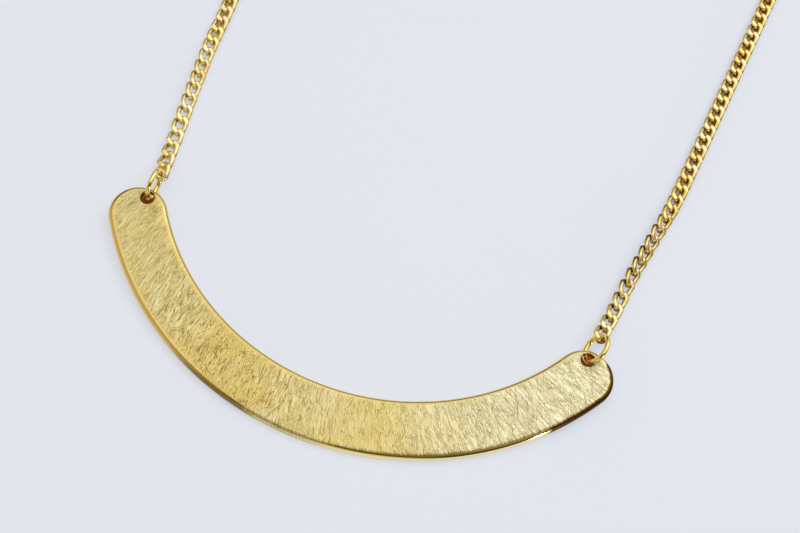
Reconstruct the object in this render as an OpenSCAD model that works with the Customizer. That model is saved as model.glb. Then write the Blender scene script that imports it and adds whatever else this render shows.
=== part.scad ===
// Flat crescent bar pendant on a fine curb chain, lying flat as one closed loop, in millimetres.
// Z is up from the surface that it rests on, Y runs from the bar at the front to the clasp at the back,
// and the origin is at the middle of the footprint. Right is the +X side.

/* [Bar] */
// Mean radius of the bar's arc
bar_radius = 42.5; // [42:0.25:43]
// Width of the bar, from the outer edge to the inner edge
bar_width = 8.8; // [8:0.2:9.6]
// Thickness of the bar
bar_thick = 1.2; // [1:0.05:1.2]
// Half of the angle between the centres of the two round ends
bar_sweep = 57.2; // [56.2:0.5:58.2]
// Width of the polished rounded border along every edge
border_width = 0.75; // [0.55:0.05:0.9]
// How far the border falls from the face to the side wall
border_drop = 0.65; // [0.4:0.05:0.75]

/* [Rings] */
// Diameter of the hole in each end of the bar
hole_width = 2.15; // [2.15:0.05:2.4]
// Wire thickness of the two jump rings
ring_wire = 0.66; // [0.5:0.02:0.66]

/* [Chain] */
// Width of a link
link_width = 2.5; // [2.45:0.05:2.55]
// Wire thickness of a link
link_wire = 0.62; // [0.56:0.02:0.62]
// Links in each of the two strands
link_count = 73; // [72:1:75]

/* [Clasp] */
// Diameter of the clasp's barrel
barrel_width = 2; // [1.8:0.1:2.4]
// Length of the clasp's barrel
barrel_length = 6; // [5:0.5:7]

/* [Hidden] */
$fn = 72;
LEFT = -1;
RIGHT = 1;

// The bar leans, because the ring wire passes under each of its ends.
bar_tilt = 2.5;
foot_chamfer = 0.15;
border_steps = 6;
end_step = 0.01;        // how far the round ends stay inside the bar's edges, so that they join cleanly
foot_line = -(bar_radius + bar_width / 2 - foot_chamfer);
hole_to_edge = 1.6;     // from the hole's centre to the round end's edge
hole_aside = 40;        // the hole's direction from the end's centre, turned towards the inner edge
hole_rim = 0.15;        // radius of the rounding around the hole, on both faces
rim_steps = 3;
cut_past = 1;           // how far the cut for a hole goes past each face

// Jump rings. A seat is [across, along, up] from the middle of the hole, then the ring's lean from flat
// and the direction that its upper face looks in.
ring_radius = 2.25;
seat_left = [0.054, 2.324, 0.828, 90.3, 178];
seat_right = [0.632, 2.153, 0.543, 55.9, 177.7];

// Chain. A link is a flat stadium of wire, twisted about its own length.
near_pitch = 2.26;      // spacing of the links beside the bar, where the chain is pulled straight
link_play = 0.28;       // free room between two links at that spacing
link_length = near_pitch + 2 * link_wire + link_play;
link_twist = -64;       // turn of each end of a link against its middle
twist_power = 1.6;      // the twist grows with this power of the distance from the middle
bend_steps = 4;         // flats around each end of a link
wire_sides = 5;
near_left = 13;         // links at the near pitch, the rest of the strand is a little closer
near_right = 10;
// From the middle of a ring to the middle of the first link: [across, along]
first_left = [0, 2.82];
first_right = [0.15, 2.93];

// Where the strands run: [across, along] from the centre of the bar's arc
course_left = [[-35.95, -10.8], [-36.55, -5], [-37.3, 2.5], [-38, 10.2], [-38.4, 18.5], [-39.3, 28],
    [-41.1, 38], [-43.4, 48.2], [-45.6, 58.6]];
course_right = [[36.95, -10.8], [37.75, -5], [39.15, 2.5], [40.65, 10.1], [41.7, 18.5], [42.8, 28.5],
    [43.87, 38.2], [45, 48.3], [46.1, 58.6]];
// Height of the links' middles above the surface where a ring or the clasp holds them up, or 0 where
// they rest on it: [distance from that end of the strand, height]
hang_left = [[0, 1.92], [2.2, 1.45], [4.4, 1], [6.6, 0.75], [9, 0.6], [10, 0]];
hang_right = [[0, 2], [2.2, 1.52], [4.4, 1.07], [6.6, 0.8], [9, 0.6], [10, 0]];
hang_clasp = [[0, 1.05], [2.2, 0.9], [4.4, 0.75], [6.6, 0.6], [9, 0]];
lay_height = 0.65;      // the least height of a link's middle anywhere
aim_reach = 0.4;        // a link points from this far behind its middle to this far ahead, along the strand
slope_reach = 1;        // and its slope is taken over this distance each way
// Roll of the links about the strand: [distance from the first link, degrees]
roll_left = [[0, -15], [14, 20], [22, 20], [30, 0], [100, 0], [140, 6]];
roll_right = [[0, 4], [14, 20], [22, 20], [30, 0], [100, 0], [140, 6]];

// Loop and clasp
loop_radius = 47;
loop_middle = 70;       // centre of the half circle that closes the loop, from the bar's arc centre
loop_turns = [-1:13:77];
eye_radius = 0.85;
eye_turn = 60;          // of each eye about the barrel's length
eye_wire = 0.6;
eye_sunk = 0.15;        // how deep the middle of the eye's wire sits in the barrel's end
clasp_height = 1.05;    // centre of the barrel above the surface

// Points and directions
function lean(p) = [p.x,
    foot_line + (p.y - foot_line) * cos(bar_tilt) - p.z * sin(bar_tilt),
    (p.y - foot_line) * sin(bar_tilt) + p.z * cos(bar_tilt)];
function end_middle(side) = [side * bar_radius * sin(bar_sweep), -bar_radius * cos(bar_sweep)];
function end_out(side) = [side * sin(bar_sweep), -cos(bar_sweep)];
function end_along(side) = [side * cos(bar_sweep), sin(bar_sweep)];
function hole_middle(side) = end_middle(side) + (bar_width / 2 - hole_to_edge)
    * (cos(hole_aside) * end_along(side) - sin(hole_aside) * end_out(side));
function seat(side) = side == LEFT ? seat_left : seat_right;
function ring_middle(side) = let (h = hole_middle(side), s = seat(side))
    lean([h.x, h.y, bar_thick / 2]) + [s[0], s[1], s[2]];

// Bar: one side of its cross section, from the face down to the foot, at a distance from the middle
function section(half) = concat([for (k = [0:border_steps]) let (a = 90 * k / border_steps)
        [half - border_width * (1 - sin(a)), bar_thick - border_drop * (1 - cos(a))]],
    [[half, foot_chamfer], [half - foot_chamfer, 0]]);
function flipped(p) = [for (k = [len(p) - 1:-1:0]) [-p[k].x, p[k].y]];

module bar_leaning() {
    translate([0, foot_line, 0]) rotate([bar_tilt, 0, 0]) translate([0, -foot_line, 0]) children();
}

module bar_end(side) {
    translate(concat(end_middle(side), 0)) rotate_extrude()
        polygon(concat([[0, 0], [0, bar_thick]], section(bar_width / 2 - end_step)));
}

function rim(z, turn) = [for (k = [0:rim_steps]) let (a = 90 * (turn > 0 ? k : rim_steps - k) / rim_steps)
    [hole_width / 2 + hole_rim * (1 - cos(a)), z - turn * hole_rim * (1 - sin(a))]];

module hole(side) {
    widest = hole_width / 2 + hole_rim;
    translate(concat(hole_middle(side), 0)) rotate_extrude()
        polygon(concat([[0, -cut_past], [widest, -cut_past]], rim(0, -1), rim(bar_thick, 1),
            [[widest, bar_thick + cut_past], [0, bar_thick + cut_past]]));
}

module bar() color("#c9b35f") to_origin() bar_leaning() difference() {
    union() {
        rotate_extrude(angle = 2 * bar_sweep, start = -90 - bar_sweep)
            translate([bar_radius, 0])
                polygon(concat(section(bar_width / 2), flipped(section(bar_width / 2))));
        bar_end(LEFT);
        bar_end(RIGHT);
    }
    hole(LEFT);
    hole(RIGHT);
}

module jump_ring(side) {
    s = seat(side);
    translate(ring_middle(side)) rotate([0, s[3], s[4]])
        rotate_extrude() translate([ring_radius, 0]) circle(d = ring_wire);
}

module ring_left() color("#d8b548") to_origin() jump_ring(LEFT);
module ring_right() color("#d8b548") to_origin() jump_ring(RIGHT);

// Link: rows of points around the wire, one row at each flat of the stadium
bend = (link_width - link_wire) / 2;
straight = (link_length - link_wire) / 2 - bend;
link_rows = 2 * (bend_steps + 1);
function row_side(k) = k <= bend_steps ? 1 : -1;
function row_angle(k) = -90 + 180 * (k % (bend_steps + 1)) / bend_steps;
function turned(p, a) = [p.x, p.y * cos(a) - p.z * sin(a), p.y * sin(a) + p.z * cos(a)];
link_points = [for (k = [0:link_rows - 1], j = [0:wire_sides - 1])
    let (s = row_side(k), a = row_angle(k), b = 360 * j / wire_sides,
         x = s * (straight + bend * cos(a)), y = s * bend * sin(a),
         out = link_wire / 2 * cos(b), up = link_wire / 2 * sin(b))
    turned([x + out * s * cos(a), y + out * s * sin(a), up],
        s * link_twist * pow(abs(x) / (straight + bend), twist_power))];
function row_point(k, j) = (k % link_rows) * wire_sides + j % wire_sides;
link_faces = [for (k = [0:link_rows - 1], j = [0:wire_sides - 1], half = [0, 1])
    half == 0 ? [row_point(k, j), row_point(k, j + 1), row_point(k + 1, j + 1)]
              : [row_point(k, j), row_point(k + 1, j + 1), row_point(k + 1, j)]];
function lowest(roll, slope) =
    min([for (p = link_points) turned(p, roll).z * cos(slope) + p.x * sin(slope)]);

module link() polyhedron(link_points, link_faces);

// Strand: a smooth course through its knots, walked at even steps
function first_knot(side) = let (r = ring_middle(side), f = side == LEFT ? first_left : first_right)
    [r.x + f.x, r.y + f.y];
clasp_reach = barrel_length / 2 - eye_sunk + eye_radius + (link_length - link_wire) / 2;
function knots(side) = concat([first_knot(side)], side == LEFT ? course_left : course_right,
    [for (a = loop_turns) [side * loop_radius * cos(a), loop_middle + loop_radius * sin(a)]],
    [[side * clasp_reach, loop_middle + loop_radius]]);
function smooth(a, b, c, d, t) = 0.5 * (2 * b + (c - a) * t + (2 * a - 5 * b + 4 * c - d) * t * t
    + (3 * b - a - 3 * c + d) * t * t * t);
course_steps = 16;
function course(p) = let (n = len(p) - 1)
    [for (i = [0:n - 1], k = [0:course_steps - 1])
        smooth(i == 0 ? 2 * p[0] - p[1] : p[i - 1], p[i], p[i + 1],
            i == n - 1 ? [2 * p[n].x - p[n - 1].x, p[n - 1].y] : p[i + 2], k / course_steps), p[n]];
function distances(q) = [for (i = 0, s = 0; i < len(q);
    s = s + norm(q[min(i + 1, len(q) - 1)] - q[i]), i = i + 1) s];
function along(q, s, axis, at) = lookup(at, [for (i = [0:len(q) - 1]) [s[i], q[i][axis]]]);

module strand(side) {
    q = course(knots(side));
    s = distances(q);
    near = side == LEFT ? near_left : near_right;
    hang = side == LEFT ? hang_left : hang_right;
    roll = side == LEFT ? roll_left : roll_right;
    total = s[len(s) - 1];
    far_pitch = (total - near * near_pitch) / (link_count - 1 - near);
    for (i = [0:link_count - 1]) {
        at = i < near ? i * near_pitch : near * near_pitch + (i - near) * far_pitch;
        step = [for (axis = [0, 1]) along(q, s, axis, at + aim_reach) - along(q, s, axis, at - aim_reach)];
        beside = [max(at - slope_reach, 0), at, min(at + slope_reach, total)];
        held = [for (d = beside) max(lay_height, lookup(d, hang), lookup(total - d, hang_clasp))];
        slope = atan2(held[2] - held[0], beside[2] - beside[0]);
        turn = lookup(at, roll);
        translate([along(q, s, 0, at), along(q, s, 1, at), max(held[1], -lowest(turn, slope))])
            rotate([turn, -slope, atan2(step.y, step.x)]) link();
    }
}

module chain_left() color("#dfc15a") to_origin() strand(LEFT);
module chain_right() color("#dfc15a") to_origin() strand(RIGHT);

// Clasp: a plain barrel with an eye at each end
module eye(side) {
    translate([side * (barrel_length / 2 - eye_sunk + eye_radius), 0, 0])
        rotate([-side * eye_turn, 0, 0])
            rotate_extrude() translate([eye_radius, 0]) circle(d = eye_wire);
}

module clasp() color("#d8b548") to_origin() translate([0, loop_middle + loop_radius, clasp_height]) {
    translate([-barrel_length / 2, 0, 0]) rotate([0, 90, 0]) cylinder(h = barrel_length, d = barrel_width);
    eye(LEFT);
    eye(RIGHT);
}

// The footprint runs from the bar's outer edge to the outside of the strands beside the clasp.
front = lean([0, -(bar_radius + bar_width / 2), bar_thick - border_drop]).y;
back = loop_middle + loop_radius + link_width / 2;
module to_origin() { translate([0, -(front + back) / 2, 0]) children(); }

bar();
ring_left();
ring_right();
chain_left();
chain_right();
clasp();
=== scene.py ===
# %% [markdown]
# # A brass bar necklace
# The real object is a flat brass crescent on a fine curb chain. Its face is brushed, and everything else is
# polished. A CAD program has made the exact solids, and this script gives them the finish that a camera sees.
# The frame comes first: it holds one mesh for each CAD solid, in metres, all of them in their places.

# %% Load the frame
import math
import random

import bmesh
import bpy
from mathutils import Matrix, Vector
from mathutils.geometry import delaunay_2d_cdt


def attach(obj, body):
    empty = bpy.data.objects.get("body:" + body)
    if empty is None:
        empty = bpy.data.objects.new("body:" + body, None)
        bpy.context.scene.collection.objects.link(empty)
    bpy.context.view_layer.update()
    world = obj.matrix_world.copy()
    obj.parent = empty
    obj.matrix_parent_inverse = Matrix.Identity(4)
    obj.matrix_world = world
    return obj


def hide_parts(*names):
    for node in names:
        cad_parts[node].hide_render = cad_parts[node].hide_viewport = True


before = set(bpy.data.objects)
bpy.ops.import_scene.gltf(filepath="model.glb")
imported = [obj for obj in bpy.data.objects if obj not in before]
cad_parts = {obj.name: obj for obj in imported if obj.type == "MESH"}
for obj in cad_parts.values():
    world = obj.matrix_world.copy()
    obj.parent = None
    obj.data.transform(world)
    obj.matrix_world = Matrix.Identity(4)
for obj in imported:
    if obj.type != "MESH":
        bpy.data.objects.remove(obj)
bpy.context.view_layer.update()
MM = 0.001
LEFT, RIGHT = -1, 1
print("CAD nodes:", sorted(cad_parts))

# %% [markdown]
# ## Sizes
# A piece that replaces a CAD solid has to match it, so its sizes repeat the values of the CAD source by name.
# Lengths are in millimetres, because a jeweller thinks in them, and each mesh is scaled to metres as it is
# made. The arc of the bar has its centre at ARC_CENTRE, and the bar leans a little, because a ring passes
# under it. SEAT says for each ring where its middle is from the middle of the hole, how far it leans from
# flat, and the direction that it then faces.
#
# The CAD wire is thin, so that its links stay clear of each other. The finished wire is as thick as the real
# one, so the finished links and rings have sizes of their own.

# %% Sizes of the pieces
BAR_RADIUS, BAR_WIDTH, BAR_THICK, BAR_SWEEP, BAR_TILT = 42.5, 8.8, 1.2, 57.2, 2.5
BORDER_WIDTH, BORDER_DROP, FOOT_CHAMFER = 0.75, 0.65, 0.15
HOLE_WIDTH, HOLE_RIM, HOLE_TO_EDGE, HOLE_ASIDE = 2.15, 0.15, 1.6, 40
RING_RADIUS = 2.25
SEAT = {LEFT: (0.054, 2.324, 0.828, 90.3, 178), RIGHT: (0.632, 2.153, 0.543, 55.9, 177.7)}
LINK_WIDTH, LINK_WIRE, LINK_COUNT = 2.5, 0.62, 73
NEAR_PITCH, LINK_PLAY = 2.26, 0.28
LINK_LENGTH = NEAR_PITCH + 2 * LINK_WIRE + LINK_PLAY
BARREL_WIDTH, BARREL_LENGTH, CLASP_HEIGHT = 2.0, 6.0, 1.05
EYE_RADIUS, EYE_WIRE, EYE_SUNK, EYE_TURN = 0.85, 0.6, 0.15, 60
LOOP_RADIUS, LOOP_MIDDLE = 47.0, 70.0
LOOP_BACK = LOOP_MIDDLE + LOOP_RADIUS

# The finished wire: a link is filed flat at the height FILED, and its twist grows faster towards its ends
WIDE, LONG, GAUGE, FILED, RING_GAUGE = 2.55, 3.66, 0.77, 0.60, 0.78
TWIST, TWIST_POWER = -60, 1.8

FOOT_LINE = -(BAR_RADIUS + BAR_WIDTH / 2 - FOOT_CHAMFER)
tilt = math.radians(BAR_TILT)


def lean(x, y, z):
    """A point of the flat bar, once the bar leans on its front edge."""
    return Vector((x, FOOT_LINE + (y - FOOT_LINE) * math.cos(tilt) - z * math.sin(tilt),
                   (y - FOOT_LINE) * math.sin(tilt) + z * math.cos(tilt)))


front = lean(0, -(BAR_RADIUS + BAR_WIDTH / 2), BAR_THICK - BORDER_DROP).y
back = LOOP_BACK + LINK_WIDTH / 2
ARC_CENTRE = Vector((0, -(front + back) / 2, 0))
print(f"link {LINK_LENGTH:.2f} mm long, arc centre at y {ARC_CENTRE.y:.3f} mm")

# %% [markdown]
# ## Camera
# A photograph fixes its camera: from the outline of the bar, a fit gives where the camera stood, how it was
# turned and how long its lens was. The camera goes in early, so that every later render can be compared.

# %% Camera
camera_data = bpy.data.cameras.new("camera")
camera_data.lens = 63.0
camera_data.clip_start = 0.01
camera = bpy.data.objects.new("camera", camera_data)
camera.location = (0.018394, -0.144466, 0.192125)
camera.rotation_euler = [math.radians(a) for a in (25.654, -5.406, 19.840)]
bpy.context.collection.objects.link(camera)
bpy.context.scene.camera = camera
print("camera", round(Vector(camera.location).length, 3), "m from the middle of the necklace")

# %% [markdown]
# ## Node maths
# A procedural material is a formula. Drawn as nodes it is hard to read, so one small class wraps an output
# socket and lets Python operators add the Math nodes: `1 - mask * 2` becomes two nodes. Colours are never
# passed through Math, because it would turn them grey. They go through Mix nodes.

# %% A class for node maths
class Value:
    """The output socket of a node, with Python's operators as Math nodes."""

    def __init__(self, graph, socket):
        self.graph, self.socket = graph, socket

    def _math(self, operation, *values):
        return self.graph.node("ShaderNodeMath", {"operation": operation}, *values)

    def __add__(self, other): return self._math("ADD", self, other)
    def __radd__(self, other): return self._math("ADD", other, self)
    def __sub__(self, other): return self._math("SUBTRACT", self, other)
    def __rsub__(self, other): return self._math("SUBTRACT", other, self)
    def __mul__(self, other): return self._math("MULTIPLY", self, other)
    def __rmul__(self, other): return self._math("MULTIPLY", other, self)
    def __truediv__(self, other): return self._math("DIVIDE", self, other)
    def __rtruediv__(self, other): return self._math("DIVIDE", other, self)
    def __pow__(self, other): return self._math("POWER", self, other)
    def abs(self): return self._math("ABSOLUTE", self)
    def cos(self): return self._math("COSINE", self)
    def sin(self): return self._math("SINE", self)
    def atan2(self, other): return self._math("ARCTAN2", self, other)
    def hypot(self, other): return (self * self + other * other) ** 0.5

    def clamp(self, low, high):
        return self.graph.node("ShaderNodeClamp", None, self, low, high)

    def ramp(self, low, high, out_low=0.0, out_high=1.0):
        """out_low up to low, out_high from high on, and a smooth change between."""
        smooth = {"interpolation_type": "SMOOTHSTEP"}
        return self.graph.node("ShaderNodeMapRange", smooth, self, low, high, out_low, out_high)

    def within(self, start, full, end, gone):
        """0 up to start, 1 between full and end, and 0 again from gone on."""
        return self.ramp(start, full) * self.ramp(gone, end)


print("node maths ready")

# %% [markdown]
# A second class holds a tree of nodes and has the one method that adds any node to it. Materials, Geometry
# Nodes and the light of the room all use it. A material is such a tree with a Principled shader at its end.

# %% A class for the tree
class Graph:
    """A tree of nodes, the one method that adds any node to it, and short forms for the usual ones."""

    def __init__(self, tree):
        self.tree = tree

    def node(self, kind, settings=None, *values, output=0, **named):
        """Adds a node. Settings come first, then its sockets get values or links, by place or by name."""
        new = self.tree.nodes.new(kind)
        for key, value in (settings or {}).items():
            setattr(new, key, value)
        for key, value in [*enumerate(values), *((k.replace("_", " "), v) for k, v in named.items())]:
            self.fill(new.inputs[key], value)
        return Value(self, new.outputs[output])

    def fill(self, socket, value):
        """Gives an input a link or a constant."""
        if isinstance(value, Value):
            self.tree.links.new(value.socket, socket)
        else:
            socket.default_value = value

    def blend(self, amount, low, high):
        """A colour between two colours."""
        low, high = (c if isinstance(c, Value) else (*c, 1) for c in (low, high))
        mix = self.node("ShaderNodeMix", {"data_type": "RGBA"}, amount, output=2)
        self.fill(mix.socket.node.inputs[6], low)
        self.fill(mix.socket.node.inputs[7], high)
        return mix

    def point(self, centre=(0, 0, 0), scale=1000.0):
        """Object coordinates from a centre, in millimetres unless another scale is given."""
        here = self.node("ShaderNodeTexCoord", output=3)
        moved = self.node("ShaderNodeVectorMath", {"operation": "SUBTRACT"}, here, centre)
        return self.node("ShaderNodeVectorMath", {"operation": "SCALE"}, moved, Scale=scale)

    def attribute(self, name):
        """A number that is stored at each point of the mesh."""
        return self.node("ShaderNodeAttribute", {"attribute_name": name}, output=2)

    def parts(self, vector):
        split = self.node("ShaderNodeSeparateXYZ", None, vector).socket.node
        return [Value(self, out) for out in split.outputs]

    def join(self, x, y, z=0.0):
        return self.node("ShaderNodeCombineXYZ", None, x, y, z)

    def noise(self, vector, scale, detail=3.0, roughness=0.5, distortion=0.0):
        return self.node("ShaderNodeTexNoise", None, Vector=vector, Scale=scale, Detail=detail,
                         Roughness=roughness, Distortion=distortion)

    def bump(self, height, strength, distance):
        return self.node("ShaderNodeBump", None, Height=height, Strength=strength, Distance=distance)


class Material(Graph):
    """A new material. Its Principled shader gets constants at once, and values through `set`."""

    def __init__(self, name, **constants):
        self.data = bpy.data.materials.new(name)
        self.data.use_nodes = True
        super().__init__(self.data.node_tree)
        self.shader = self.tree.nodes["Principled BSDF"]
        for socket, value in constants.items():
            self.shader.inputs[socket.replace("_", " ")].default_value = value

    def set(self, socket, value):
        self.tree.links.new(value.socket, self.shader.inputs[socket])


print("node helpers ready")

# %% [markdown]
# ## Polished brass
# Polished metal has almost no colour of its own: it shows what is around it, tinted. What tells a real one
# from a plain mirror is that its polish isn't even. Slow noise moves the colour between a yellow and a paler
# gold, fine noise adds redder spots and roughness, and a very shallow bump breaks the reflections as hand
# polishing does. On a chain the brass is painted darker and browner lower in a link, as painted shade for the
# crevices between links; a vertex attribute, `height`, gives how low each point lies. The two strands get
# colours of their own as painted light, and the left one has less painted shade than the right one.

# %% Polished brass
YELLOW_GOLD, RED_GOLD, PALE_GOLD = (0.80, 0.56, 0.17), (0.70, 0.40, 0.09), (0.90, 0.74, 0.36)
DEPTH_SHADE_BROWN = (0.20, 0.08, 0.008)


def polished_brass(name, roughness, unevenness, yellow=YELLOW_GOLD, pale=PALE_GOLD, painted_shade=0.0):
    brass = Material(name, Metallic=1.0)
    here = brass.point()
    slow = brass.noise(here, 0.35, 2.0)
    fine = brass.noise(here, 3.0, 4.0, 0.6)
    tone = slow.ramp(0.38, 0.62)
    colour = brass.blend(fine.ramp(0.45, 0.8) * 0.35, brass.blend(tone, yellow, pale), RED_GOLD)
    # Painted shade: the brass turns darker and browner lower in a link, where the crevices between links are
    # shaded
    if painted_shade:
        depth = (brass.attribute("height") + fine * 0.2).ramp(-0.05, 0.6, painted_shade, 0.0)
        colour = brass.blend(depth, colour, DEPTH_SHADE_BROWN)
    brass.set("Base Color", colour)
    brass.set("Roughness", roughness + fine * unevenness)
    brass.set("Normal", brass.bump(fine, 0.25, 0.00002))
    return brass


ring_brass = polished_brass("ring brass", 0.10, 0.14, (0.94, 0.71, 0.20), (0.96, 0.79, 0.31))
# The two strands are one brass: their different colours and amounts of painted shade are painted light for how
# the light falls on each
chain_brass = {
    LEFT: polished_brass("left chain brass", 0.26, 0.14, (0.92, 0.73, 0.25), (0.95, 0.82, 0.45), 0.4),
    RIGHT: polished_brass("right chain brass", 0.22, 0.14, (0.88, 0.66, 0.20), (0.93, 0.77, 0.40), 1.0)}
clasp_brass = polished_brass("clasp brass", 0.14, 0.12)
for brass in (ring_brass, *chain_brass.values(), clasp_brass):
    print("polished:", brass.data.name, len(brass.tree.nodes), "nodes")

# %% [markdown]
# ## Strokes of a brush
# The face of the bar was brushed by hand, from the inner edge to the outer one. The strokes follow the arc's
# radius and cross each other. So the pattern needs polar coordinates: the distance around the arc from its
# middle, and the distance across the bar from its centreline. Each layer of strokes is a noise that is
# stretched a lot along the stroke and turned a little. Where such a noise passes through its middle value it
# leaves a thin line, and these lines are the single scratches between the fine hairs of the grain.

# %% Strokes of a brush
# For each layer: its turn from the radius, anticlockwise as seen from above, in degrees, the width and the
# length of a stroke in mm, the seed of its noise, and the detail in it
STROKES = {"hair": (6, 0.11, 2.2, 1.7, 2.0), "steep": (14, 0.34, 3.4, 5.1, 1.0),
           "slanted": (30, 0.42, 3.0, 9.3, 1.0), "back": (-12, 0.40, 3.2, 13.9, 1.0),
           "flat": (58, 0.9, 3.6, 21.3, 1.0), "crossed": (-42, 0.5, 2.6, 27.5, 1.0),
           "long": (-24, 0.7, 6.5, 33.1, 1.0)}


def brush_marks(brass, around, across):
    """The finest hairs, the grain of all strokes together, and the single scratches."""
    bent = around - across * around.ramp(-12.0, -38.0) * 0.5
    layers = {}
    for name, (turn, width, length, seed, detail) in STROKES.items():
        c, s = math.cos(math.radians(turn)), math.sin(math.radians(turn))
        side, along = bent * c - across * s, across * c + bent * s
        layers[name] = brass.noise(brass.join(side / width, along / length, seed), 1.0, detail, 0.55, 0.3)

    def scratches(name, thin):
        """Thin lines where a layer passes through its middle value."""
        return (layers[name] - 0.5).abs().ramp(0.0, thin, 1.0, 0.0)

    patches = brass.noise(brass.join(around / 3.0, across / 3.0, 2.0), 1.0, 2.0)
    lines = (scratches("steep", 0.035) * 0.9
             + scratches("slanted", 0.03) * patches.ramp(0.40, 0.6)
             + scratches("back", 0.03) * patches.ramp(0.62, 0.42) * 0.8
             + scratches("flat", 0.012) * 0.6
             + scratches("crossed", 0.022) * patches.ramp(0.48, 0.58) * 0.8
             + scratches("long", 0.016) * around.ramp(10.0, 34.0))
    grain = layers["hair"] * 0.55 + layers["steep"] * 0.25 + layers["slanted"] * 0.2
    return layers["hair"], grain, lines


print("layers of strokes:", ", ".join(STROKES))

# %% [markdown]
# ## Brushed brass
# The brushed face runs out over a polished border. A vertex attribute, `inset`, says how far each point is
# from the edge, and the grain makes the line between both finishes ragged, as the ends of the strokes are.
#
# Nothing made by hand is even, so the finish changes along the bar. The strokes are weaker at the left end and
# from the middle on, and warmer in two places. At the right end they are paler, as a painted sheen. The outer
# border has a painted highlight along its edge, and a painted shaded line inside it on the right half. Left
# of the middle, and again near the right end, its edge is dull and painted dark, as painted shade. The walls
# of the holes are rougher and painted a dark red-brown, as painted shade inside the holes.

# %% Brushed brass
# Two colours stand for the left and the right end, or for the two ends of a slow noise
# The paler right-end colours of the strokes are a painted sheen
DARK_STROKES = (0.52, 0.41, 0.14), (0.50, 0.41, 0.18)
LIGHT_STROKES = (0.88, 0.80, 0.43), (0.92, 0.88, 0.61)
BORDER = (0.74, 0.54, 0.15), (0.79, 0.61, 0.22)
WARM, SCRATCHED, HOLE_WALL_SHADE = (0.73, 0.54, 0.15), (0.26, 0.17, 0.03), (0.42, 0.14, 0.03)
INNER_EDGE, EDGE_HIGHLIGHT = (0.64, 0.47, 0.15), (1.0, 0.88, 0.47)
SHADED, EDGE_SHADE_DARK = (0.14, 0.08, 0.005), (0.09, 0.035, 0.002)
# How far in from the edge the brushed face starts and is full, and how ragged that line is
BRUSHED_FROM, RAGGED = (0.25, 0.90), 1.1


def brushed_brass():
    brass = Material("bar brass", Metallic=1.0)
    x, y, _ = brass.parts(brass.point(ARC_CENTRE * MM))
    across = x.hypot(y) - BAR_RADIUS
    around = x.atan2(0.0 - y) * BAR_RADIUS
    inset = brass.attribute("inset")
    hair, grain, lines = brush_marks(brass, around, across)
    slow = brass.noise(brass.join(around / 16.0, across / 9.0, 7.0), 1.0, 1.0)

    # Where things are: along the bar, on its inner or outer half, and on the outer border
    left, right_end = around.ramp(12.0, -14.0), around.ramp(10.0, 34.0)
    inner, outer, outer_rim = across.ramp(0.5, -0.5), across.ramp(-0.5, 0.5), across.ramp(0.0, 1.0)
    strength = 1 - around.ramp(-9.0, 3.0) * 0.3 - around.ramp(-26.0, -38.0) * 0.25
    warm = around.within(-24.0, -17.0, -10.0, -4.0) + around.within(1.0, 6.0, 10.0, 16.0) * 0.7
    # Painted light on the outer border: a painted highlight along the edge, a painted shaded line inside it,
    # and painted dark shade where the edge is dull
    edge = outer_rim * inset.ramp(0.05, 0.32, 1.0, 0.0)
    shade = outer_rim * inset.ramp(0.38, 0.52) * around.within(-6.0, 6.0, 36.0, 43.0)
    dull_shaded_edge = (outer_rim * inset.ramp(0.55, 0.95, 1.0, 0.0) * around.ramp(33.2, 34.2)
            + edge * around.within(-23.0, -16.0, -9.0, -5.0) * 0.8)
    # The walls of the holes: painted dark red-brown as painted shade inside the holes, and rougher
    hole_wall = inset.ramp(-0.6, -0.1, 1.0, 0.0)

    # The face is where the brush went. It starts further in along shiny borders and along the shaded line, and
    # less far in near the middle, where the strokes run out over the border
    shiny = inner * left * 0.2 + outer * around.ramp(-12.0, -20.0) * 0.25
    run_out = outer * around.ramp(-10.0, -6.0) * (around.ramp(6.0, 0.0) * 0.5 - around.ramp(4.0, 12.0) * 0.2)
    face = (inset - shiny + run_out + (grain - 0.5) * RAGGED).ramp(*BRUSHED_FROM)

    dark, light = brass.blend(right_end, *DARK_STROKES), brass.blend(right_end, *LIGHT_STROKES)
    tone = brass.blend((grain.ramp(0.38, 0.60) - 0.5) * strength + 0.5, dark, light)
    tone = brass.blend(slow.ramp(0.4, 0.62) * (1 - right_end) * 0.3 + warm * 0.6, tone, WARM)
    tone = brass.blend(lines.ramp(0.1, 1.0) * strength * 0.9, tone, SCRATCHED)

    border = brass.blend(slow.ramp(0.3, 0.7), *BORDER)
    border = brass.blend(edge * around.ramp(-6.0, 8.0), border, EDGE_HIGHLIGHT)
    border = brass.blend(inner * left * 0.6, border, INNER_EDGE)
    border = brass.blend(shade * 0.95, border, SHADED)
    border = brass.blend(dull_shaded_edge, border, EDGE_SHADE_DARK)

    brass.set("Base Color", brass.blend(hole_wall, brass.blend(face, border, tone), HOLE_WALL_SHADE))
    brass.set("Roughness", hole_wall * 0.2 + dull_shaded_edge * 0.2 - edge * 0.07 + face * (0.22 + hair * 0.12) + 0.13)
    brass.set("Normal", brass.bump((grain * 0.8 - lines * 0.35) * face + hair * 0.04, 0.6, 0.00006))
    return brass


bar_brass = brushed_brass()
print("brushed:", bar_brass.data.name, len(bar_brass.tree.nodes), "nodes")

# %% [markdown]
# ## The bar
# A thin plate is a drawing with heights. The drawing is flat: outlines that step in from the edge, and circles
# around the two holes. Every point then gets its height from two distances, to the edge and to a hole, so the
# rounded border and the rounded rims of the holes meet cleanly where they cross. A constrained Delaunay
# triangulation turns the drawing into faces, and it copes with lines that cross.

# %% The drawing of the bar
ARC_POINTS, END_POINTS, HOLE_POINTS = 150, 40, 48
BORDER_STEPS, RIM_STEPS, FLAT_STEP = 12, 4, 0.3


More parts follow.
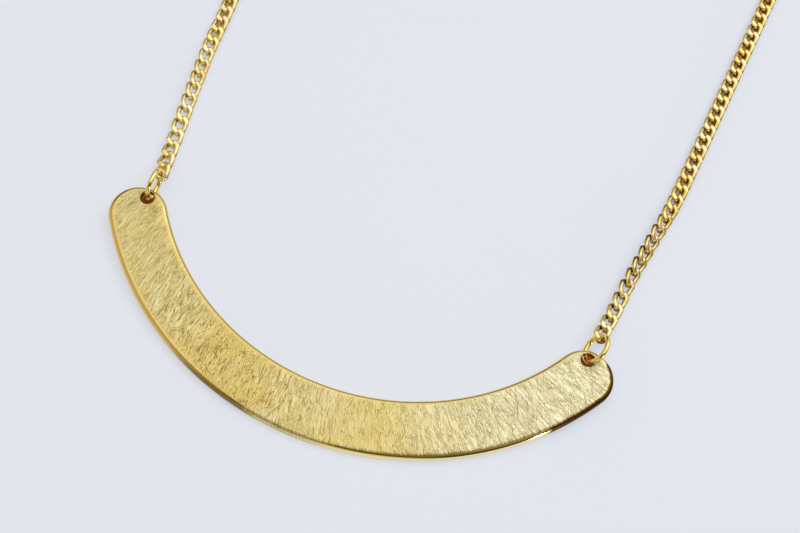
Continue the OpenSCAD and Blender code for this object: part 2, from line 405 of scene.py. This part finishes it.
def on_centreline(x, y):
    """The point of the bar's centreline that is nearest to a point."""
    sweep = math.radians(BAR_SWEEP)
    turn = max(-sweep, min(sweep, math.atan2(x, -y)))
    return Vector((math.sin(turn), -math.cos(turn))) * BAR_RADIUS


def inset_of(x, y):
    """How far a point lies in from the bar's edge."""
    return BAR_WIDTH / 2 - (Vector((x, y)) - on_centreline(x, y)).length


def hole_middle(side):
    sweep, aside = math.radians(BAR_SWEEP), math.radians(HOLE_ASIDE)
    outwards = Vector((side * math.sin(sweep), -math.cos(sweep)))
    along = Vector((side * math.cos(sweep), math.sin(sweep)))
    reach = BAR_WIDTH / 2 - HOLE_TO_EDGE
    return outwards * BAR_RADIUS + reach * (math.cos(aside) * along - math.sin(aside) * outwards)


def outline(inset):
    """A closed line around the bar, a distance in from its edge."""
    sweep, half = math.radians(BAR_SWEEP), BAR_WIDTH / 2 - inset
    points = []
    for side in (RIGHT, LEFT):
        for k in range(ARC_POINTS):
            a = side * sweep * (2 * k / ARC_POINTS - 1)
            points.append(Vector((math.sin(a), -math.cos(a))) * (BAR_RADIUS + side * half))
        middle = Vector((side * math.sin(sweep), -math.cos(sweep))) * BAR_RADIUS
        for k in range(END_POINTS):
            a = side * sweep - math.pi / 2 + math.pi * (k / END_POINTS + (side == LEFT))
            points.append(middle + half * Vector((math.cos(a), math.sin(a))))
    return points


def circle(middle, radius):
    turns = [2 * math.pi * k / HOLE_POINTS for k in range(HOLE_POINTS)]
    return [middle + radius * Vector((math.cos(a), math.sin(a))) for a in turns]


def quarter(steps):
    """Angles from 0 to 90 degrees, for a rounded edge."""
    return [math.pi / 2 * k / steps for k in range(steps + 1)]


HOLES = [hole_middle(LEFT), hole_middle(RIGHT)]
drawing = [outline(BORDER_WIDTH * (1 - math.cos(a))) for a in quarter(BORDER_STEPS)]
drawing.append(outline(BORDER_WIDTH + FLAT_STEP))
for hole in HOLES:
    drawing += [circle(hole, HOLE_WIDTH / 2 + HOLE_RIM * (1 - math.cos(a))) for a in quarter(RIM_STEPS)]
print("lines in the drawing:", len(drawing), "with", sum(len(line) for line in drawing), "points")

# %% [markdown]
# The top is the triangulated drawing, without the triangles in the holes and outside the bar. Each point also
# keeps its distance to the edge for the shader.

# %% The top of the bar
FACES_INSIDE, EPSILON, SLIVER = 1, 1e-6, 0.001


def to_hole(x, y):
    """How far a point is from the edge of the nearest hole."""
    return min((Vector((x, y)) - hole).length for hole in HOLES) - HOLE_WIDTH / 2


def fall(distance, width, depth):
    """How far a rounded edge lies below its face, at a distance in from the edge."""
    return depth * (1 - math.sqrt(1 - (1 - min(max(distance, 0), width) / width) ** 2))


def top_height(x, y):
    border, rim = fall(inset_of(x, y), BORDER_WIDTH, BORDER_DROP), fall(to_hole(x, y), HOLE_RIM, HOLE_RIM)
    return BAR_THICK - max(border, rim)


def bar_top():
    """The top of the bar, flat on the ground, with the `inset` of each point."""
    points = [p for line in drawing for p in line]
    edges, start = [], 0
    for line in drawing:
        edges += [(start + k, start + (k + 1) % len(line)) for k in range(len(line))]
        start += len(line)
    flat, _, triangles, *_ = delaunay_2d_cdt(points, edges, [], FACES_INSIDE, EPSILON)

    bm = bmesh.new()
    inset_layer = bm.verts.layers.float.new("inset")
    verts = [bm.verts.new((p.x, p.y, top_height(p.x, p.y))) for p in flat]
    for triangle in triangles:
        x, y = (sum(flat[i][axis] for i in triangle) / 3 for axis in (0, 1))
        if inset_of(x, y) > 0 and to_hole(x, y) > -SLIVER:
            bm.faces.new([verts[i] for i in triangle])
    bmesh.ops.delete(bm, geom=[v for v in bm.verts if not v.link_faces], context="VERTS")
    for v in bm.verts:
        v[inset_layer] = inset_of(v.co.x, v.co.y)
    return bm


print("bar:", BAR_THICK, "mm thick,", round(top_height(0, BORDER_WIDTH / 2 - BAR_RADIUS - BAR_WIDTH / 2), 2),
      "mm in the middle of its border")

# %% [markdown]
# The walls are pulled down from the open edges of the top, one row of faces at a time: straight down, then
# along the small chamfer of the foot or the rim of the hole. The last edges bound the flat back. Everything
# is worked out flat and in millimetres, and leans over only at the end. The walls of the holes get -1 as their
# distance to the edge, by which the shader knows them.

# %% The walls of the bar
AT_EDGE, IN_HOLE, NEAR = 0, -1, 0.05


def pull(bm, border, height, outwards):
    """One row of wall: its edges are pulled to a height, and away from the metal's edge."""
    inset_layer = bm.verts.layers.float["inset"]
    new = bmesh.ops.extrude_edge_only(bm, edges=border)["geom"]
    for v in (g for g in new if isinstance(g, bmesh.types.BMVert)):
        here = Vector(v.co.xy)
        in_hole = to_hole(*here) < HOLE_RIM + NEAR
        middle = min(HOLES, key=lambda hole: (here - hole).length) if in_hole else on_centreline(*here)
        v.co.xy = here + (here - middle).normalized() * (outwards if in_hole else -outwards)
        v.co.z = height
        v[inset_layer] = IN_HOLE if in_hole else AT_EDGE
    return [g for g in new if isinstance(g, bmesh.types.BMEdge) and g.is_boundary]


def finished(bm, name):
    """A plain mesh, with its faces smooth and turned outwards."""
    for f in bm.faces:
        f.smooth = True
    bmesh.ops.recalc_face_normals(bm, faces=bm.faces)
    mesh = bpy.data.meshes.new(name)
    bm.to_mesh(mesh)
    bm.free()
    return mesh


def bar_mesh():
    bm = bar_top()
    open_edges = [e for e in bm.edges if e.is_boundary]
    outer = [e for e in open_edges if inset_of(*e.verts[0].co.xy) < NEAR]
    holes = [e for e in open_edges if e not in outer]
    outer = pull(bm, pull(bm, outer, FOOT_CHAMFER, 0), 0, FOOT_CHAMFER)
    before = 0.0
    for a in quarter(RIM_STEPS):
        holes = pull(bm, holes, HOLE_RIM * (1 - math.sin(a)), HOLE_RIM * (math.cos(before) - math.cos(a)))
        before = a
    bmesh.ops.triangle_fill(bm, use_beauty=True, edges=outer + holes)
    for v in bm.verts:
        v.co = (ARC_CENTRE + lean(*v.co)) * MM
    print("open edges left in the bar:", sum(e.is_boundary for e in bm.edges))
    return finished(bm, "bar_plate")


# %% [markdown]
# Each finished piece goes through one helper. It rides on the necklace, which is one body, and it replaces its
# CAD solid.

# %% Add the bar
def add_piece(name, mesh, material, slot, *nodes):
    """Puts a finished mesh in the scene, riding on the necklace, in place of its CAD nodes."""
    piece = bpy.data.objects.new(name, mesh)
    bpy.context.collection.objects.link(piece)
    mesh.materials.clear()
    mesh.materials.append(material.data)
    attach(piece, "root")
    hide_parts(*nodes)
    print(f"{name}: {len(mesh.polygons)} faces")


add_piece("bar_plate", bar_mesh(), bar_brass, "bar", "bar")

# %% [markdown]
# ## Loops of wire
# Jump rings, chain links and the eyes of the clasp are one idea: a loop of round wire. A link is a ring that
# is pulled apart into a stadium, twisted about its length, and filed flat above and below. So one Geometry
# Nodes tree makes them all: it bends a circle into the link's centreline, sweeps the wire along it, files it,
# and puts a copy at each point that it gets, turned by the point's `turn` attribute. It also stores how high
# each point lies in its loop, as `height` for the shader. Realize Instances and Set Material come last.

# %% A tree for loops of wire
ROWS, WIRE_SIDES, STRAIGHTNESS, SQUARENESS = 40, 12, 3.5, 1.05
SOCKETS = {"Places": "Geometry", "Width": "Float", "Length": "Float", "Wire": "Float", "Twist": "Float",
           "Flat": "Float", "Rows": "Int", "Sides": "Int", "Material": "Material"}


def link_centreline(loops, given):
    """A unit circle with x pulled apart and y kept, then turned about x by the twist."""
    bend = (given("Width") - given("Wire")) * 0.5
    reach = (given("Length") - given("Wire")) * 0.5
    unit = loops.node("GeometryNodeCurvePrimitiveCircle", None, Resolution=given("Rows"), Radius=1.0)
    cosine, sine, _ = loops.parts(loops.node("GeometryNodeInputPosition"))
    x = (reach - bend) * (cosine * STRAIGHTNESS).clamp(-1.0, 1.0) + bend * cosine
    y = bend * (sine * SQUARENESS).clamp(-1.0, 1.0)
    share = x / reach
    angle = given("Twist") * (share * share.abs() ** (TWIST_POWER - 1))
    point = loops.join(x, y * angle.cos(), y * angle.sin())
    return loops.node("GeometryNodeSetPosition", None, Geometry=unit, Position=point)


def wire_loop_tree():
    loops = Graph(bpy.data.node_groups.new("Loops of wire", "GeometryNodeTree"))
    for label, kind in SOCKETS.items():
        loops.tree.interface.new_socket(label, in_out="INPUT", socket_type=f"NodeSocket{kind}")
    loops.tree.interface.new_socket("Loops", in_out="OUTPUT", socket_type="NodeSocketGeometry")
    source, result = (loops.tree.nodes.new(kind) for kind in ("NodeGroupInput", "NodeGroupOutput"))

    def given(label):
        return Value(loops, source.outputs[label])

    node = loops.node
    radius = given("Wire") * 0.5
    profile = node("GeometryNodeCurvePrimitiveCircle", None, Resolution=given("Sides"), Radius=radius)
    loop = node("GeometryNodeCurveToMesh", None, Curve=link_centreline(loops, given), Profile_Curve=profile)
    x, y, z = loops.parts(node("GeometryNodeInputPosition"))
    filed = z.clamp(given("Flat") * -1.0, given("Flat"))
    loop = node("GeometryNodeSetPosition", None, Geometry=loop, Position=loops.join(x, y, filed))
    loop = node("GeometryNodeStoreNamedAttribute", {"data_type": "FLOAT", "domain": "POINT"},
                Geometry=loop, Name="height", Value=filed / given("Flat"))
    turn = node("GeometryNodeInputNamedAttribute", {"data_type": "FLOAT_VECTOR"}, Name="turn")
    copies = node("GeometryNodeInstanceOnPoints", None, Points=given("Places"), Instance=loop, Rotation=turn)
    smooth = node("GeometryNodeSetShadeSmooth", None, node("GeometryNodeRealizeInstances", None, copies))
    done = node("GeometryNodeSetMaterial", None, Geometry=smooth, Material=given("Material"))
    loops.fill(result.inputs["Loops"], done)
    return loops.tree


WIRE_LOOPS = wire_loop_tree()
print("tree:", WIRE_LOOPS.name, len(WIRE_LOOPS.nodes), "nodes")

# %% [markdown]
# A helper gives the tree its places and sizes, and turns the result into a plain mesh. A modifier's inputs are
# set by the sockets' identifiers, before the object is looked at for the first time. The places come as a
# mesh that is only points, each with the angles that its loop is turned by.

# %% Make loops at places
def wire_loops(places, material, **sizes):
    """A mesh of wire loops. places are (point in mm, angles in degrees), sizes are the tree's inputs."""
    mesh = bpy.data.meshes.new("places")
    mesh.from_pydata([(ARC_CENTRE + Vector(p)) * MM for p, _ in places], [], [])
    turns = mesh.attributes.new("turn", "FLOAT_VECTOR", "POINT")
    for spot, (_, angles) in zip(turns.data, places):
        spot.vector = [math.radians(a) for a in angles]
    holder = bpy.data.objects.new("places", mesh)
    bpy.context.collection.objects.link(holder)
    modifier = holder.modifiers.new("loops", "NODES")
    modifier.node_group = WIRE_LOOPS
    inputs = {"Rows": ROWS, "Sides": WIRE_SIDES, **sizes, "Material": material.data}
    for item in WIRE_LOOPS.interface.items_tree:
        if item.name in inputs:
            modifier[item.identifier] = inputs[item.name]
    graph = bpy.context.evaluated_depsgraph_get()
    result = bpy.data.meshes.new_from_object(holder.evaluated_get(graph))
    bpy.data.objects.remove(holder)
    return result


def round_loop(radius, wire, rows, sides):
    """The sizes of a plain round loop, which is neither twisted nor filed."""
    across = (2 * radius + wire) * MM
    return {"Width": across, "Length": across, "Wire": wire * MM, "Twist": 0.0, "Flat": 1.0,
            "Rows": rows, "Sides": sides}


print("inputs of the tree:", ", ".join(SOCKETS))

# %% [markdown]
# ## Jump rings
# A jump ring is a closed loop of thicker wire. Its place is given from the middle of the hole that it passes
# through, with how far it leans from flat and the direction that it then faces.

# %% Jump rings
def ring_middle(side):
    hole = hole_middle(side)
    return lean(hole.x, hole.y, BAR_THICK / 2) + Vector(SEAT[side][:3])


for side, name in ((LEFT, "left"), (RIGHT, "right")):
    place = (ring_middle(side), (0, *SEAT[side][3:]))
    ring = wire_loops([place], ring_brass, **round_loop(RING_RADIUS, RING_GAUGE, rows=96, sides=24))
    add_piece(f"jump_ring_{name}", ring, ring_brass, "rings", f"ring_{name}")

# %% [markdown]
# ## The chain
# Each strand follows a smooth course from its ring to the clasp. The course is a Catmull-Rom curve: it goes
# through every knot, and each piece of it needs only the knots around it. FIRST is where it starts, from the
# middle of the ring, KNOTS is its near part, and a big loop is the rest. The NEAR_LINKS keep an exact pitch,
# and the others share out the length that is left.
#
# Near the bar a ring holds the chain up, so the first links hang, and the rest lie on the surface. The tables
# HANG and ROLL say how high a link is held and how far it is rolled about its length, in degrees, at a distance
# from the ring. HANG_CLASP says how high it is held at a distance from the clasp.

# %% The course of a strand
KNOTS = {LEFT: [(-35.95, -10.8), (-36.55, -5), (-37.3, 2.5), (-38, 10.2), (-38.4, 18.5), (-39.3, 28),
                (-41.1, 38), (-43.4, 48.2), (-45.6, 58.6)],
         RIGHT: [(36.95, -10.8), (37.75, -5), (39.15, 2.5), (40.65, 10.1), (41.7, 18.5), (42.8, 28.5),
                 (43.87, 38.2), (45, 48.3), (46.1, 58.6)]}
FIRST = {LEFT: (0, 2.82), RIGHT: (0.15, 2.93)}
NEAR_LINKS = {LEFT: 13, RIGHT: 10}
HANG = {LEFT: [(0, 1.92), (2.2, 1.45), (4.4, 1), (6.6, 0.75), (9, 0.6), (10, 0)],
        RIGHT: [(0, 2), (2.2, 1.52), (4.4, 1.07), (6.6, 0.8), (9, 0.6), (10, 0)]}
HANG_CLASP = [(0, 1.05), (2.2, 0.9), (4.4, 0.75), (6.6, 0.6), (9, 0)]
ROLL = {LEFT: [(0, -15), (14, 36), (22, 36), (30, 2), (100, 0), (140, 6)],
        RIGHT: [(0, 4), (12, 38), (22, 36), (30, 0), (100, 0), (140, 6)]}
EYE_REACH = BARREL_LENGTH / 2 - EYE_SUNK + EYE_RADIUS
CLASP_REACH = EYE_REACH + (LINK_LENGTH - LINK_WIRE) / 2
BIG_LOOP_TURNS, CURVE_STEPS = range(-1, 78, 13), 16


def look_up(at, table):
    """The value at a distance, with an even change between the rows of a table."""
    for (a, low), (b, high) in zip(table, table[1:]):
        if at <= b:
            return low + (high - low) * max(0, at - a) / (b - a)
    return table[-1][1]


def knots(side):
    """What a strand goes through: from its ring, over its own knots and the big loop, to the clasp."""
    ring = ring_middle(side)
    turns = [math.radians(a) for a in BIG_LOOP_TURNS]
    loop = [(side * LOOP_RADIUS * math.cos(a), LOOP_MIDDLE + LOOP_RADIUS * math.sin(a)) for a in turns]
    first = (ring.x + FIRST[side][0], ring.y + FIRST[side][1])
    return [Vector(p) for p in (first, *KNOTS[side], *loop, (side * CLASP_REACH, LOOP_BACK))]


def course(side):
    """Points along the strand, and the distance to each of them."""
    p = knots(side)
    p = [2 * p[0] - p[1], *p, Vector((2 * p[-1].x - p[-2].x, p[-2].y))]
    points = []
    for a, b, c, d in zip(p, p[1:], p[2:], p[3:]):
        for t in (k / CURVE_STEPS for k in range(CURVE_STEPS)):
            points.append(0.5 * (2 * b + (c - a) * t + (2 * a - 5 * b + 4 * c - d) * t ** 2
                                 + (3 * b - a - 3 * c + d) * t ** 3))
    points.append(p[-2])
    distance = [0.0]
    for a, b in zip(points, points[1:]):
        distance.append(distance[-1] + (b - a).length)
    return points, distance


for side in (LEFT, RIGHT):
    print("strand", side, "is", round(course(side)[1][-1], 1), "mm long")

# %% [markdown]
# A resting link touches the surface with its lowest point. That point depends on how the link is twisted and
# rolled, so the script finds it from the link's own centreline, the same one that the tree bends. Points a
# little AHEAD and BESIDE give the link's direction and slope, and the solids set how LOW its middle may be. No
# two links lie quite alike, so each is rolled a little more or less than the table says.

# %% Where each link lies
LOW, AHEAD, BESIDE, UNEVEN, SEED = 0.65, 0.4, 1, 1.5, 20


def link_rest(roll, slope):
    """Height of a link's middle when its lowest point is on the surface."""
    bend, reach = (WIDE - GAUGE) / 2, (LONG - GAUGE) / 2
    lowest = 0.0
    for k in range(ROWS):
        a = 2 * math.pi * k / ROWS
        x = (reach - bend) * max(-1, min(1, STRAIGHTNESS * math.cos(a))) + bend * math.cos(a)
        y = bend * max(-1, min(1, SQUARENESS * math.sin(a)))
        turn = math.radians(TWIST * x / reach * abs(x / reach) ** (TWIST_POWER - 1) + roll)
        lowest = min(lowest, y * math.sin(turn) * math.cos(slope) + x * math.sin(slope))
    return GAUGE / 2 - lowest


def link_places(side):
    points, distance = course(side)
    total, near = distance[-1], NEAR_LINKS[side]
    far_pitch = (total - near * NEAR_PITCH) / (LINK_COUNT - 1 - near)
    xs, ys = ([(d, p[axis]) for d, p in zip(distance, points)] for axis in (0, 1))
    wobble = random.Random(side + SEED)
    places = []
    for i in range(LINK_COUNT):
        at = min(i, near) * NEAR_PITCH + max(i - near, 0) * far_pitch
        dx, dy = (look_up(at + AHEAD, t) - look_up(at - AHEAD, t) for t in (xs, ys))
        beside = [max(at - BESIDE, 0), at, min(at + BESIDE, total)]
        held = [max(LOW, look_up(d, HANG[side]), look_up(total - d, HANG_CLASP)) for d in beside]
        slope = math.atan2(held[2] - held[0], beside[2] - beside[0])
        roll = look_up(at, ROLL[side])
        place = (look_up(at, xs), look_up(at, ys), max(held[1], link_rest(roll, slope)))
        roll += wobble.uniform(-UNEVEN, UNEVEN)
        places.append((place, (roll, -math.degrees(slope), math.degrees(math.atan2(dy, dx)))))
    return places


LINK_SIZES = {"Width": WIDE * MM, "Length": LONG * MM, "Wire": GAUGE * MM, "Twist": math.radians(TWIST),
              "Flat": FILED * MM}
for side, name in ((LEFT, "left"), (RIGHT, "right")):
    links = wire_loops(link_places(side), chain_brass[side], **LINK_SIZES)
    add_piece(f"curb_chain_{name}", links, chain_brass[side], "chain", f"chain_{name}")

# %% [markdown]
# ## The clasp
# The clasp is out of the photograph, so it is a plain barrel with an eye at each end. The barrel is turned on
# a lathe: a half profile is spun about its length. Its shoulders are rounded, because a sharp edge on metal
# never shows in life, and a fine groove at the middle is where its two halves meet.

# %% The clasp
BARREL_SIDES, SHOULDER, SHOULDER_STEPS, GROOVE = 64, 0.25, 6, 0.06


def barrel_profile():
    """Points (along, radius) from the left tip of the barrel to the right one."""
    radius, half = BARREL_WIDTH / 2, BARREL_LENGTH / 2
    left = [(-half, 0.0)]
    for a in quarter(SHOULDER_STEPS):
        left.append((-half + SHOULDER * (1 - math.cos(a)), radius - SHOULDER * (1 - math.sin(a))))
    left.append((-GROOVE, radius))
    return left + [(0, radius - GROOVE)] + [(-along, r) for along, r in reversed(left)]


def barrel_mesh():
    bm = bmesh.new()
    rings = []
    for along, r in barrel_profile():
        turns = [2 * math.pi * k / BARREL_SIDES for k in range(BARREL_SIDES)] if r else [0.0]
        rings.append([bm.verts.new((along, r * math.cos(a), r * math.sin(a))) for a in turns])
    for low, high in zip(rings, rings[1:]):
        for k in range(BARREL_SIDES):
            n = (k + 1) % BARREL_SIDES
            corners = (low[k % len(low)], low[n % len(low)], high[n % len(high)], high[k % len(high)])
            bm.faces.new(list(dict.fromkeys(corners)))
    centre = ARC_CENTRE + Vector((0, LOOP_BACK, CLASP_HEIGHT))
    for v in bm.verts:
        v.co = (v.co + centre) * MM
    return finished(bm, "clasp_barrel")


eye_places = [((side * EYE_REACH, LOOP_BACK, CLASP_HEIGHT), (-side * EYE_TURN, 0, 0)) for side in (LEFT, RIGHT)]
eyes = wire_loops(eye_places, clasp_brass, **round_loop(EYE_RADIUS, EYE_WIRE, rows=64, sides=20))
add_piece("clasp_barrel", barrel_mesh(), clasp_brass, "clasp", "clasp")
add_piece("clasp_eyes", eyes, clasp_brass, "clasp", "clasp")

# %% [markdown]
# ## Floor
# The necklace lies on a plain pale surface, which shines a little of its own, because the polished metal
# mirrors it and the few patches of light in the room are not a whole sky. Where the surface shows through a
# hole of the bar, it is painted dark and brown as painted shade, because light reaches it there only by way of
# the brass. The spot to darken is where the camera's line of sight through the hole meets the surface.

# %% Floor
FLOOR_HALF, HOLE_SHADE = 1.5, (1.5, 2.3)
PALE = (0.335, 0.350, 0.380), (0.35, 0.363, 0.388)
GLOW, GLOW_IN_HOLE, BASE_IN_HOLE = (0.477, 0.497, 0.543), (0.036, 0.010, 0.001), (0.28, 0.085, 0.012)

corners = [(-FLOOR_HALF, -FLOOR_HALF, 0), (FLOOR_HALF, -FLOOR_HALF, 0),
           (FLOOR_HALF, FLOOR_HALF, 0), (-FLOOR_HALF, FLOOR_HALF, 0)]
floor_mesh = bpy.data.meshes.new("floor")
floor_mesh.from_pydata(corners, [], [(0, 1, 2, 3)])
floor = bpy.data.objects.new("floor", floor_mesh)
bpy.context.collection.objects.link(floor)
surface = Material("pale surface", Roughness=0.55, Specular_IOR_Level=0.2, Emission_Strength=1.0)


def out_of_hole(hole):
    """0 on the spot that shows through a hole, and 1 around it."""
    middle = (ARC_CENTRE + lean(hole.x, hole.y, 0)) * MM
    sight = middle - camera.location
    seen = middle - sight * (middle.z / sight.z)
    away = surface.node("ShaderNodeVectorMath", {"operation": "LENGTH"}, surface.point(seen), output=1)
    return away.ramp(*HOLE_SHADE)


# Painted shade on the surface where it shows through the holes
lit = out_of_hole(HOLES[0]) * out_of_hole(HOLES[1])
cloudy = surface.noise(surface.point(scale=12.0), 1.0, 2.0)
glow = surface.blend(lit, GLOW_IN_HOLE, GLOW)
base = surface.blend(lit, BASE_IN_HOLE, surface.blend(cloudy, *PALE))
print("floor:", 2 * FLOOR_HALF, "m wide")

# %% [markdown]
# Between the links of a chain that lies flat, too, the surface gets its light only by way of the brass. So a
# narrow line of it is brown under each strand. A Float Curve through the knots is the line of the near part,
# and a circle is the line of the big loop.

# %% The surface under the strands
STRAND_SHADE, FLAT_FROM, CURVE_SPAN, SEAM, BROWNED = (0.6, 1.15), (8.0, 16.0), 60, 0.1, 0.9
GLOW_UNDER, BASE_UNDER = (0.20, 0.12, 0.022), (0.45, 0.28, 0.06)

x, y, _ = surface.parts(surface.point(ARC_CENTRE * MM))


def shade_at(distance):
    """1 near the middle of a strand, and 0 from just inside its edges on."""
    return distance.abs().ramp(*STRAND_SHADE, 1.0, 0.0)


def covered(side):
    """The shade under the near part of a strand, from where it has come down to the surface."""
    table = [(y, x) for x, y in KNOTS[side] if y > 0]
    table = [(0, KNOTS[side][0][0]), *table, (LOOP_MIDDLE, side * LOOP_RADIUS)]
    line = surface.node("ShaderNodeFloatCurve", None, 1.0, y / LOOP_MIDDLE)
    mapping = line.socket.node.mapping
    for k, (up, aside) in enumerate(table):
        spot = (up / LOOP_MIDDLE, side * aside / CURVE_SPAN)
        if k < 2:
            mapping.curves[0].points[k].location = spot
        else:
            mapping.curves[0].points.new(*spot)
    mapping.update()
    return shade_at(x * side - line * CURVE_SPAN) * y.ramp(*FLAT_FROM)


beyond = y.ramp(LOOP_MIDDLE, LOOP_MIDDLE + SEAM)
bend = shade_at(x.hypot(y - LOOP_MIDDLE) - LOOP_RADIUS)
under = ((covered(LEFT) + covered(RIGHT)) * (1 - beyond) + bend * beyond) * BROWNED
surface.set("Emission Color", surface.blend(under, glow, GLOW_UNDER))
surface.set("Base Color", surface.blend(under, base, BASE_UNDER))
floor_mesh.materials.append(surface.data)
print("surface:", len(surface.tree.nodes), "nodes")

# %% [markdown]
# ## Light
# Polished metal shows the whole room, so the room is lit for what the metal sees. It is dim and warm, with a
# few soft patches in it. A big one overhead and behind gives the face its even gold, with a bluer one on its
# right side, and a warm one comes from the left. A low one in front draws the bright line along the bar's
# rounded front edge, and what stays dim above it draws the dark line.

# %% Room
def direction(azimuth, elevation):
    """Unit vector: azimuth 0 is towards the back (+Y) and 90 to the right, elevation is above the horizon."""
    a, e = math.radians(azimuth), math.radians(elevation)
    return Vector((math.sin(a) * math.cos(e), math.cos(a) * math.cos(e), math.sin(e)))


# Each soft patch of the room: direction of its middle, angles where it starts to fade and where it has gone,
# and its colour and brightness
DIM = (0.102, 0.078, 0.032)
PATCHES = [(direction(20, 62), 34, 60, (0.97, 0.985, 1.03), 1.03),
           (direction(55, 55), 8, 40, (0.85, 0.98, 1.20), 0.34),
           (direction(-105, 22), 18, 46, (1.0, 0.80, 0.55), 0.6),
           (direction(178, 13), 17, 33, (1.0, 0.97, 0.90), 0.65)]

world = bpy.data.worlds.new("room")
world.use_nodes = True
room = Graph(world.node_tree)
look = room.node("ShaderNodeTexCoord")
total = DIM
for middle, fading, gone, colour, level in PATCHES:
    facing = room.node("ShaderNodeVectorMath", {"operation": "DOT_PRODUCT"}, look, middle, output=1)
    share = facing.ramp(math.cos(math.radians(gone)), math.cos(math.radians(fading)))
    patch = room.node("ShaderNodeVectorMath", {"operation": "SCALE"}, [c * level for c in colour], Scale=share)
    total = room.node("ShaderNodeVectorMath", None, patch, total)
room.fill(room.tree.nodes["Background"].inputs["Color"], total)
bpy.context.scene.world = world
print("room:", len(PATCHES), "soft patches")

# %% [markdown]
# Two lamps add what a soft patch can't: a window makes the small sharp sparkles, and a low lamp at the right
# makes the one white glint on the bar's front edge. The Standard view transform keeps the yellow of bright
# brass, which AgX would bleach.

# %% Window and lamp
AWAY = 1.2


def panel(name, towards, size, radiance, colour=(1, 1, 1)):
    """A soft rectangular light, as bright as radiance however big it is."""
    data = bpy.data.lights.new(name, "AREA")
    data.shape, data.size, data.size_y = "RECTANGLE", *size
    data.energy, data.color = radiance * math.pi * size[0] * size[1], colour
    lamp = bpy.data.objects.new(name, data)
    lamp.location = towards * AWAY
    lamp.rotation_euler = towards.to_track_quat("Z", "Y").to_euler()
    bpy.context.collection.objects.link(lamp)


panel("window", direction(35, 48), (0.35, 0.25), 4.0, (1.0, 0.99, 0.96))
panel("low lamp", direction(123, 8), (0.045, 0.2), 55.0)
bpy.context.scene.view_settings.view_transform = "Standard"
